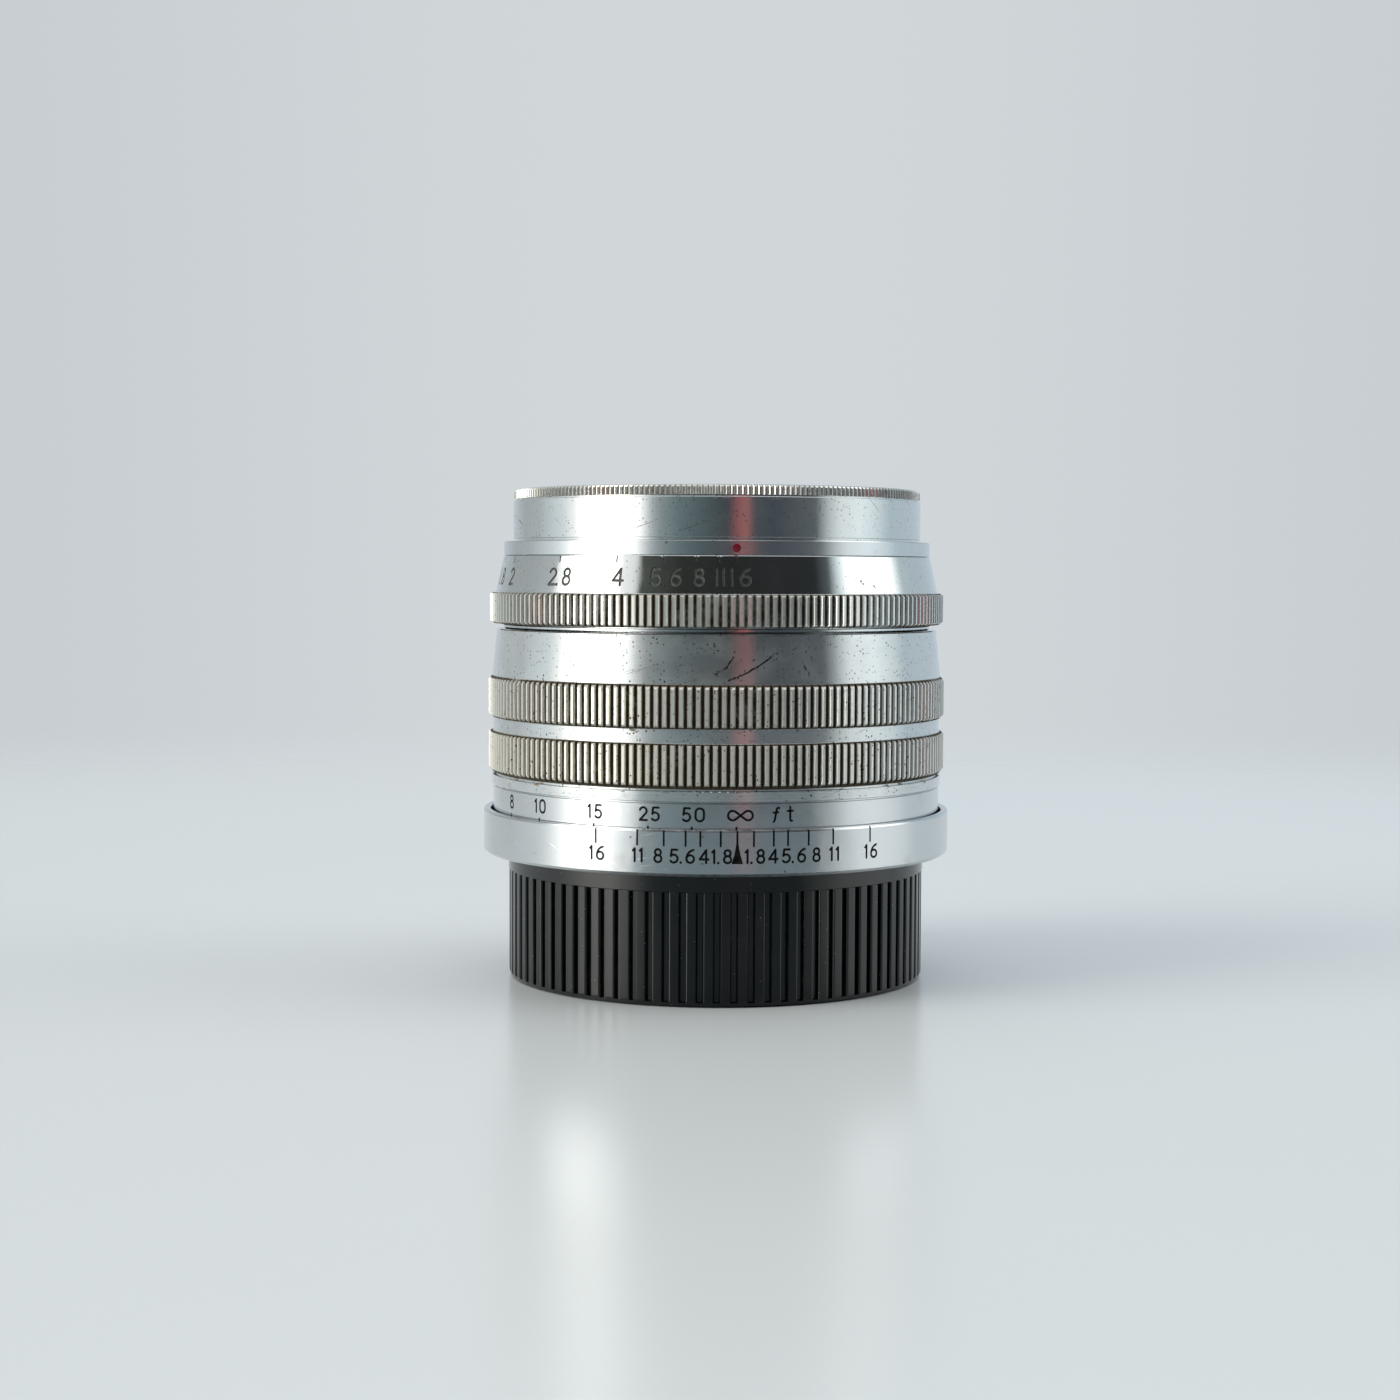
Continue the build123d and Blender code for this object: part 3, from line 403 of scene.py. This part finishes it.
def mount_chrome(name):
    """Dull plate on the mount and the carriage, stained by old grease."""
    g = Finish(name)
    clouds = g.pattern((0.3, 0.3, 0.3), 5.0)
    fine = g.pattern((4.0, 4.0, 4.0), 3.0)
    stain = g.smooth(clouds, 0.48, 0.75)
    colour = g.mix(g.times(stain, 0.6), (0.56, 0.55, 0.52), (0.24, 0.20, 0.13))
    rough = g.plus(0.22, g.times(fine, 0.22))
    normal = g.bump(g.lathe_lines(5.0), 0.004 * MM)
    return g.close(Base_Color=colour, Metallic=0.95, Roughness=rough, Normal=normal)


def greased_brass(name):
    """Turned brass with a brown film of grease."""
    g = Finish(name)
    film = g.smooth(g.pattern((0.5, 0.5, 0.5), 5.0), 0.45, 0.7)
    colour = g.mix(g.times(film, 0.7), (0.66, 0.47, 0.20), (0.20, 0.12, 0.045))
    rough = g.plus(0.2, g.times(film, 0.25))
    normal = g.bump(g.lathe_lines(6.0), 0.004 * MM)
    return g.close(Base_Color=colour, Metallic=0.95, Roughness=rough, Normal=normal)


def screw_steel(name):
    """Turned steel with darker spots."""
    g = Finish(name)
    spots = g.smooth(g.pattern((3.0, 3.0, 3.0), 4.0), 0.5, 0.7)
    colour = g.mix(g.times(spots, 0.6), (0.50, 0.50, 0.49), (0.20, 0.17, 0.13))
    rough = g.plus(0.22, g.times(spots, 0.3))
    return g.close(Base_Color=colour, Metallic=0.95, Roughness=rough, Normal=g.bump(spots, 0.01 * MM))


def blade_steel(name):
    """Thin blued steel with rub marks from the neighbouring blades."""
    g = Finish(name)
    rub = g.noise(g.scaled(g.point(g.radius), per_mm(5.0, 0, 0)), 3.0)
    tint = g.pattern((0.4, 0.4, 0.4), 3.0)
    colour = g.mix(tint, (0.050, 0.052, 0.062), (0.10, 0.098, 0.098))
    rough = g.plus(0.26, g.times(rub, 0.25))
    return g.close(Base_Color=colour, Metallic=0.9, Roughness=rough, Normal=g.bump(rub, 0.004 * MM))


def coated_glass(name):
    """Clear glass with a single purple coating, a little dust and faint wipe marks."""
    g = Finish(name)
    wipes = g.pattern((0.8, 0.1, 0.2), 5.0)
    dust = g.specks(1.2, 0.07, 0.10)
    rough = g.blend(dust, g.times(g.smooth(wipes, 0.5, 0.8), 0.03), 0.6)
    colour = g.mix(dust, (0.97, 0.96, 0.99), (0.55, 0.55, 0.55))
    return g.close(Base_Color=colour, Roughness=rough, IOR=1.6, Transmission_Weight=1.0,
                   Thin_Film_Thickness=125.0, Thin_Film_IOR=1.38)


def red_enamel(name):
    """Glossy bead of dark red paint with tiny chips."""
    g = Finish(name)
    chips = g.smooth(g.pattern((6.0, 6.0, 6.0), 4.0), 0.62, 0.7)
    colour = g.mix(chips, (0.22, 0.008, 0.020), (0.09, 0.005, 0.010))
    rough = g.plus(0.12, g.times(chips, 0.4))
    return g.close(Base_Color=colour, Roughness=rough, Normal=g.bump(chips, -0.004 * MM))


def floor_paint(name):
    """Pale glossy board that fades into the backdrop away from the object, painted darker in front of
    the object for rays other than camera rays.
    """
    g = Finish(name)
    cloud = g.pattern((0.01, 0.01, 0.01), 3.0)
    pale = g.mix(cloud, FLOOR_COLOUR, tuple(c * 1.02 for c in FLOOR_COLOUR))
    # Painted shade: rays other than camera rays see the floor in front of the object in a darker colour.
    ahead = g.plus(g.y, g.math("ABSOLUTE", g.x))
    reflected = g.minus(1.0, g.add("ShaderNodeLightPath").outputs["Is Camera Ray"])
    painted_shade = g.times(reflected, g.smooth(ahead, 5 * MM, -25 * MM))
    shader = g.add("ShaderNodeBsdfPrincipled", {
        "Base Color": g.mix(painted_shade, pale, PAINTED_FLOOR_SHADE),
        "Roughness": 0.22,
        "IOR": 1.36,
    })
    clear = g.add("ShaderNodeBsdfTransparent")
    fade = g.smooth(g.radius, *FLOOR_FADE)
    both = g.add("ShaderNodeMixShader", {0: fade, 1: shader.outputs[0], 2: clear.outputs[0]})
    g.tree.links.new(both.outputs[0], g.add("ShaderNodeOutputMaterial").inputs[0])
    return g.material


# ---- which piece gets which finish --------------------------------------------------------
def paint(name, *materials):
    mesh = nodes[name].data
    mesh.materials.clear()
    for material in materials:
        mesh.materials.append(material)


def face_centres(name):
    """Centres of a node's faces, in millimetres."""
    polygons = nodes[name].data.polygons
    centres = np.empty(len(polygons) * 3)
    polygons.foreach_get("center", centres)
    return centres.reshape(-1, 3) / MM


def fill_engraving(name, surface, marks, wall=0.0):
    """Paint the engraved marks of a ring with its second material, and their walls with its third.

    marks are the lowest and the highest place of a mark. Faces that lie less than wall below the
    surface count as walls.
    """
    foot, head = surface
    centres = face_centres(name)
    radius = np.hypot(centres[:, 0], centres[:, 1])
    height = centres[:, 2]
    share = (height - foot[1]) / (head[1] - foot[1])
    depth = foot[0] + (head[0] - foot[0]) * share - radius
    marked = (depth > SHALLOWEST) & (depth < DEEPEST) & (height > marks[0]) & (height < marks[1])
    slots = np.where(marked, np.where(depth < wall, 2, 1), 0)
    nodes[name].data.polygons.foreach_set("material_index", slots.astype(np.int32))


# ---- studio -------------------------------------------------------------------------------
def around_ramp(g, turn, sides):
    stops = [(azimuth / 360 + 0.5, tuple(c / BRIGHTEST for c in colour)) for azimuth, colour in sides]
    return g.ramp(turn, stops)


def make_world():
    """Soft boxes left and right, a dark side behind the camera and pale surroundings."""
    world = bpy.data.worlds.new("studio")
    world.use_nodes = True
    bpy.context.scene.world = world
    g = Graph(world.node_tree)
    direction = g.add("ShaderNodeTexCoord").outputs["Generated"]
    turned = g.add("ShaderNodeVectorRotate", {0: direction, "Angle": math.radians(-CAMERA_AZIMUTH)},
                   rotation_type="Z_AXIS").outputs[0]
    x, y, z = g.xyz(turned)
    angle = g.math("ARCTAN2", x, g.times(y, -1.0))
    turn = g.plus(g.math("DIVIDE", angle, math.tau), 0.5)
    low = around_ramp(g, turn, SIDES_LOW)
    high = around_ramp(g, turn, SIDES_HIGH)
    sides = g.mix(g.smooth(z, math.sin(math.radians(3)), math.sin(math.radians(17))), low, high)
    over = tuple(c / BRIGHTEST for c in OVERHEAD)
    under = tuple(c * 0.95 / BRIGHTEST for c in BACKDROP)
    upper = g.mix(g.smooth(z, math.sin(math.radians(38)), math.sin(math.radians(60))), sides, over)
    whole = g.mix(g.smooth(z, -math.sin(math.radians(2)), -math.sin(math.radians(14))), upper, under)
    room = g.add("ShaderNodeBackground", {0: whole, 1: BRIGHTEST})
    aside = g.smooth(g.math("ABSOLUTE", x), 0.05, 0.32)
    seen = g.add("ShaderNodeBackground", {0: g.mix(aside, BACKDROP, BACKDROP_EDGE), 1: 1.0})
    camera_ray = g.add("ShaderNodeLightPath").outputs["Is Camera Ray"]
    both = g.add("ShaderNodeMixShader", {0: camera_ray, 1: room.outputs[0], 2: seen.outputs[0]})
    g.tree.links.new(both.outputs[0], g.add("ShaderNodeOutputWorld").inputs[0])


def make_floor():
    """A round board that stays under the cap, so that a cap that is pulled off still stands on it."""
    bpy.ops.mesh.primitive_circle_add(vertices=128, radius=FLOOR_FADE[1], fill_type="NGON",
                                      location=(0, 0, -0.02 * MM))
    floor = bpy.context.object
    floor.name = "floor"
    floor.data.materials.append(floor_paint("floor_board"))
    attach(floor, "cap")


def make_camera():
    data = bpy.data.cameras.new("camera")
    data.sensor_width = 36.0
    data.lens = FOCAL_LENGTH
    data.clip_start = 0.005
    data.clip_end = 20.0
    camera = bpy.data.objects.new("camera", data)
    bpy.context.scene.collection.objects.link(camera)
    azimuth = math.radians(CAMERA_AZIMUTH)
    east, north = math.sin(azimuth), -math.cos(azimuth)
    place = Vector((CAMERA_DISTANCE * east, CAMERA_DISTANCE * north, CAMERA_HEIGHT))
    turn = Matrix.Rotation(math.radians(CAMERA_AZIMUTH - CAMERA_YAW), 4, "Z")
    tilt = Matrix.Rotation(math.radians(90 - CAMERA_PITCH), 4, "X")
    roll = Matrix.Rotation(math.radians(CAMERA_ROLL), 4, "Z")
    aside = Matrix.Translation((CAMERA_ASIDE, 0, 0))
    camera.matrix_world = Matrix.Translation(place) @ turn @ tilt @ roll @ aside
    bpy.context.scene.camera = camera
    bpy.context.scene.view_settings.view_transform = "Standard"


# ---- the object ---------------------------------------------------------------------------
def paint_nodes():
    black_paint = engraving_paint("black_paint", (0.005, 0.005, 0.005), (0.03, 0.03, 0.027))
    worn_paint = engraving_paint("worn_paint", (0.105, 0.103, 0.096), (0.20, 0.197, 0.185))
    satin = satin_chrome("satin_chrome_finish")
    for name in ("base_ring", "distance_scale_ring", "index_ring"):
        paint(name, satin, black_paint)
    fill_engraving("base_ring", BASE_SURFACE, BASE_MARKS)
    fill_engraving("distance_scale_ring", SCALE_SURFACE, SCALE_MARKS)

    focus = polished_chrome("focus_chrome", FOCUS_ROOT, FOCUS_CREST, FOCUS_KNURLS,
                            haze=0.05, veil=0.24, pitting=1.0, gouges=FOCUS_GOUGES)
    paint("focus_ring", focus)
    aperture = polished_chrome("aperture_chrome", APERTURE_ROOT, APERTURE_CREST, APERTURE_KNURLS,
                               haze=0.015, veil=0.02, pitting=0.45, gouges=APERTURE_NICKS)
    paint("aperture_ring", aperture, worn_paint, cut_edges("cut_edges"))
    fill_engraving("aperture_ring", APERTURE_SURFACE, APERTURE_MARKS, APERTURE_WALL)
    front = polished_chrome("front_chrome", FRONT_ROOT, FRONT_CREST, FRONT_KNURLS,
                            haze=0.045, veil=0.07, pitting=0.6)
    for name in ("front_barrel", "lens_barrel"):
        paint(name, front)

    paint("rear_cap", cap_plastic("cap_black"))
    black = black_metal("matt_black")
    for name in ("front_cell", "rear_cell", "name_ring", "iris_housing", "rear_baffle", "front_retainer",
                 "rear_retainer", "front_spacer", "rear_spacer"):
        paint(name, black)
    dull = mount_chrome("dull_chrome")
    for name in ("mount_flange", "carriage_tube"):
        paint(name, dull)
    brass = greased_brass("greased_brass")
    for name in ("focus_nut", "focus_lock_ring", "iris_cam_ring", "guide_keys"):
        paint(name, brass)
    steel = screw_steel("screw_steel")
    for name in ("flange_screws", "guide_key_screws", "focus_stop_pins", "lock_ring_screws",
                 "barrel_screws", "aperture_drive_screw", "iris_snap_ring"):
        paint(name, steel)
    blued = blade_steel("blued_steel")
    for number in range(1, 11):
        paint(f"iris_blade_{number}", blued)
    glass = coated_glass("purple_coated_glass")
    for name in ("front_element", "front_doublet_crown", "front_doublet_flint", "rear_doublet_flint",
                 "rear_doublet_crown", "rear_element"):
        paint(name, glass)
    paint("index_dot", red_enamel("red_bead"))


paint_nodes()
make_world()
make_floor()
make_camera()
